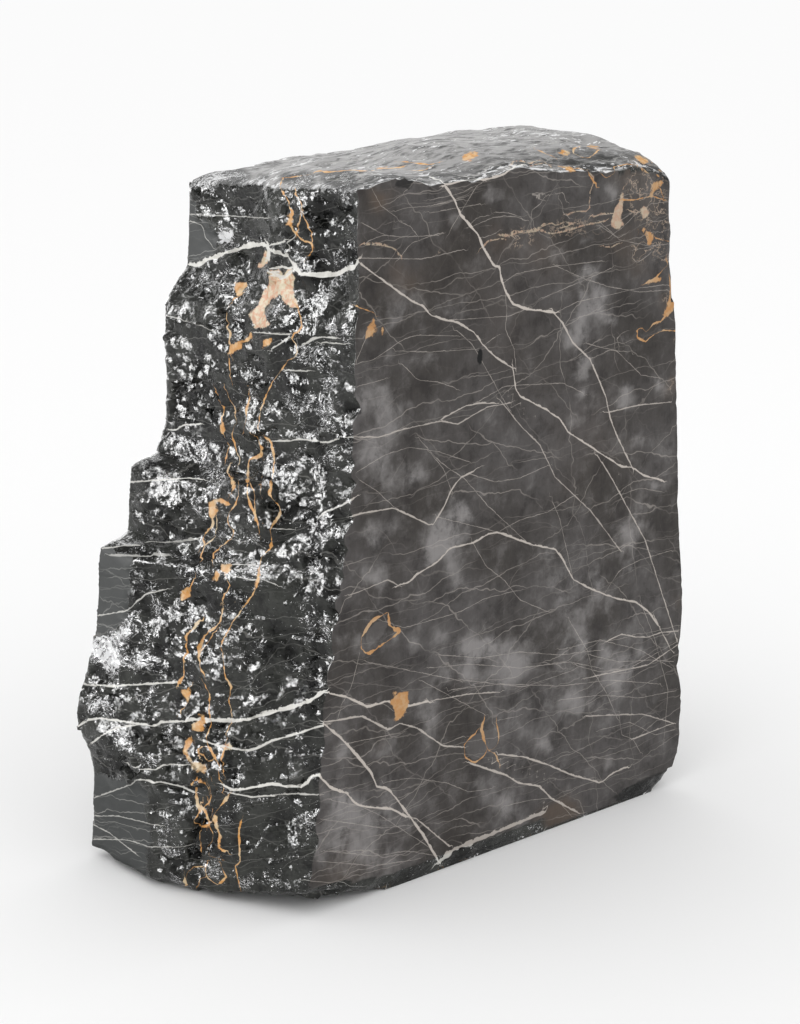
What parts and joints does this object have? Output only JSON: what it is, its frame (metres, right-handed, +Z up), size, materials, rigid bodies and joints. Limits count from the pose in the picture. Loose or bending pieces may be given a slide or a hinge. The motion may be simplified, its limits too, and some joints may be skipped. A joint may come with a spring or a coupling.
{
  "type": "marble block",
  "caption": "Upright rough block of dark veined marble with one flat sawn face, a broken stepped end and a flat base to stand on.",
  "frame": {"origin": "middle of the bounding box's bottom face, on the flat base", "axes": "+Z up; -Y is the outward normal of the large sawn face; -X points out of the broken stepped end; +X out of the rough right end"},
  "size_m": [0.442, 0.2044, 0.503],
  "materials": {
    "marble": "honed on the sawn face, glossy where it broke"
  },
  "bodies": {
    "root": {"marble_block": "marble"}
  },
  "joints": []
}
